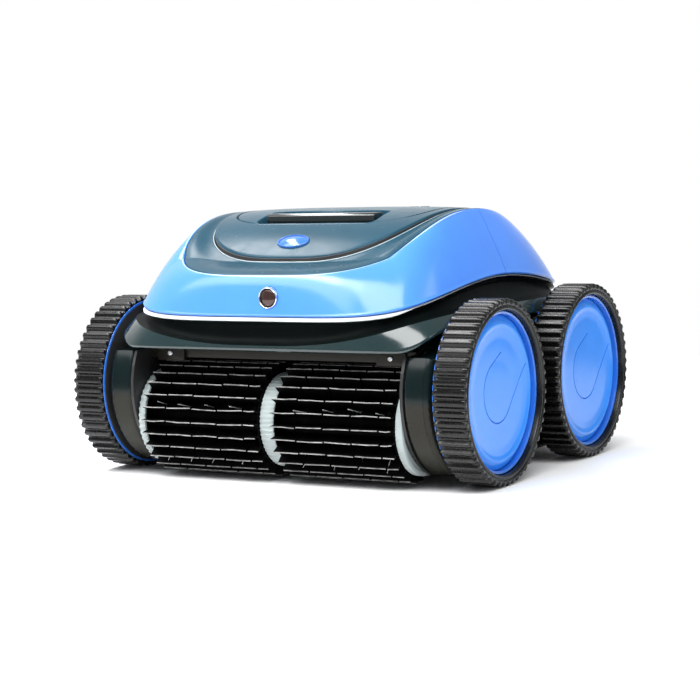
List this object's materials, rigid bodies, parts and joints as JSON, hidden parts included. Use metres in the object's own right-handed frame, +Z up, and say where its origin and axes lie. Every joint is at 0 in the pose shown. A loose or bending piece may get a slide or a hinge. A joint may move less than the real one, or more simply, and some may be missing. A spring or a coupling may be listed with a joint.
{
  "type": "robotic pool cleaner",
  "caption": "Wheeled robotic pool cleaner with a blue domed shell, dark top lid, carrying bar, ribbed tyres and a finned scrubbing brush at the front.",
  "frame": {"origin": "middle of the machine at the floor it stands on, half way between front and rear tyres", "axes": "+Z up, the brush faces -Y, the wheels turn about X, +X points to the right for someone who stands before the machine and faces its brush side"},
  "size_m": [0.4394, 0.377, 0.2595],
  "materials": {
    "blue_gloss": "glossy bright blue moulding",
    "slate_gloss": "glossy dark slate moulding",
    "black_gloss": "glossy black moulding",
    "black_matte": "satin black moulding",
    "tyre_rubber": "black ribbed rubber",
    "white_plastic": "white moulding",
    "chrome": "bright plated",
    "steel": "stainless steel",
    "grey_plastic": "grey moulding",
    "board_green": "green circuit board",
    "battery_wrap": "blue shrink wrap",
    "seal_rubber": "soft black rubber"
  },
  "bodies": {
    "chassis": {"chassis_tub": "black_matte", "side_pod_left": "black_gloss", "side_pod_right": "black_gloss", "pod_cover_left": "black_matte", "pod_cover_right": "black_matte", "bumper_skirt": "black_gloss", "shell_front": "blue_gloss", "shell_rear": "blue_gloss", "top_panel": "slate_gloss", "outlet_duct": "black_gloss", "button_bezel": "chrome", "brush_guard": "black_matte", "guard_screw_left": "steel", "guard_screw_right": "steel", "lid_hinge_pin": "steel", "filter_basket": "grey_plastic", "motor_box": "grey_plastic", "motor_box_cover": "grey_plastic", "battery_pack": "battery_wrap", "control_board": "board_green", "pump_motor": "steel", "drive_motor_left": "steel", "drive_motor_right": "steel", "drive_belt_left": "seal_rubber", "drive_belt_right": "seal_rubber"},
    "lid": {"lid": "slate_gloss", "handle_bar": "black_gloss", "lid_seal": "seal_rubber"},
    "lid_latch": {"lid_latch": "blue_gloss"},
    "power_button": {"power_button": "black_gloss"},
    "basket_bail": {"basket_bail": "steel"},
    "inlet_flap_left": {"inlet_flap_left": "grey_plastic"},
    "inlet_flap_right": {"inlet_flap_right": "grey_plastic"},
    "charge_cap": {"charge_cap": "seal_rubber"},
    "pump_rotor": {"pump_impeller": "white_plastic"},
    "motor_rotor_left": {"motor_pinion_left": "steel"},
    "motor_rotor_right": {"motor_pinion_right": "steel"},
    "brush": {"brush_shaft": "steel", "brush_sleeve_left": "black_matte", "brush_sleeve_right": "black_matte", "brush_centre_disc": "white_plastic", "brush_end_disc_left": "white_plastic", "brush_end_disc_right": "white_plastic", "brush_gear": "white_plastic"},
    "wheel_front_left": {"tyre_front_left": "tyre_rubber", "rim_front_left": "blue_gloss", "hubcap_front_left": "blue_gloss", "axle_front_left": "steel"},
    "wheel_front_right": {"tyre_front_right": "tyre_rubber", "rim_front_right": "blue_gloss", "hubcap_front_right": "blue_gloss", "axle_front_right": "steel"},
    "wheel_rear_left": {"tyre_rear_left": "tyre_rubber", "rim_rear_left": "blue_gloss", "hubcap_rear_left": "blue_gloss", "axle_rear_left": "steel"},
    "wheel_rear_right": {"tyre_rear_right": "tyre_rubber", "rim_rear_right": "blue_gloss", "hubcap_rear_right": "blue_gloss", "axle_rear_right": "steel"}
  },
  "joints": [
    {"name": "lid_hinge", "type": "hinge", "parent": "chassis", "child": "lid", "pos_m": [0, 0.048, 0.255], "axis": [-1, 0, 0], "range_deg": [0, 100]},
    {"name": "latch_press", "type": "slide", "parent": "lid", "child": "lid_latch", "axis": [0, 0.5132, -0.8582], "range_m": [0, 0.002], "stiffness_N_per_m": 500, "springref_m": -0.002},
    {"name": "power_press", "type": "slide", "parent": "chassis", "child": "power_button", "axis": [0, 1, 0], "range_m": [0, 0.0015], "stiffness_N_per_m": 600, "springref_m": -0.001},
    {"name": "bail_swing", "type": "hinge", "parent": "chassis", "child": "basket_bail", "pos_m": [0, -0.011, 0.198], "axis": [1, 0, 0], "range_deg": [0, 90]},
    {"name": "flap_left_swing", "type": "hinge", "parent": "chassis", "child": "inlet_flap_left", "pos_m": [-0.05, -0.0535, 0.0199], "axis": [1, 0, 0], "range_deg": [0, 45]},
    {"name": "flap_right_swing", "type": "hinge", "parent": "chassis", "child": "inlet_flap_right", "pos_m": [0.05, -0.0535, 0.0199], "axis": [1, 0, 0], "range_deg": [0, 45]},
    {"name": "charge_cap_swing", "type": "hinge", "parent": "chassis", "child": "charge_cap", "pos_m": [0.05, 0.1713, 0.09], "axis": [-1, 0, 0], "range_deg": [0, 120]},
    {"name": "pump_spin", "type": "hinge", "parent": "chassis", "child": "pump_rotor", "pos_m": [0, 0.096, 0.155], "axis": [0, 0, 1], "continuous": true},
    {"name": "motor_left_spin", "type": "hinge", "parent": "chassis", "child": "motor_rotor_left", "pos_m": [-0.17, 0.0629, 0.088], "axis": [1, 0, 0], "continuous": true},
    {"name": "motor_right_spin", "type": "hinge", "parent": "chassis", "child": "motor_rotor_right", "pos_m": [0.17, 0.0629, 0.088], "axis": [1, 0, 0], "continuous": true},
    {"name": "brush_spin", "type": "hinge", "parent": "chassis", "child": "brush", "pos_m": [0, -0.129, 0.0585], "axis": [1, 0, 0], "continuous": true},
    {"name": "wheel_front_left_spin", "type": "hinge", "parent": "chassis", "child": "wheel_front_left", "pos_m": [-0.2028, -0.1005, 0.088], "axis": [1, 0, 0], "continuous": true},
    {"name": "wheel_front_right_spin", "type": "hinge", "parent": "chassis", "child": "wheel_front_right", "pos_m": [0.2028, -0.1005, 0.088], "axis": [1, 0, 0], "continuous": true},
    {"name": "wheel_rear_left_spin", "type": "hinge", "parent": "chassis", "child": "wheel_rear_left", "pos_m": [-0.2028, 0.1005, 0.088], "axis": [1, 0, 0], "continuous": true},
    {"name": "wheel_rear_right_spin", "type": "hinge", "parent": "chassis", "child": "wheel_rear_right", "pos_m": [0.2028, 0.1005, 0.088], "axis": [1, 0, 0], "continuous": true}
  ],
  "couplings": [
    {"joint": "wheel_rear_left_spin", "follows": "wheel_front_left_spin", "ratio": 1},
    {"joint": "wheel_rear_right_spin", "follows": "wheel_front_right_spin", "ratio": 1},
    {"joint": "motor_left_spin", "follows": "wheel_front_left_spin", "ratio": -2.6667},
    {"joint": "motor_right_spin", "follows": "wheel_front_right_spin", "ratio": -2.6667},
    {"joint": "brush_spin", "follows": "wheel_front_right_spin", "ratio": -2}
  ]
}
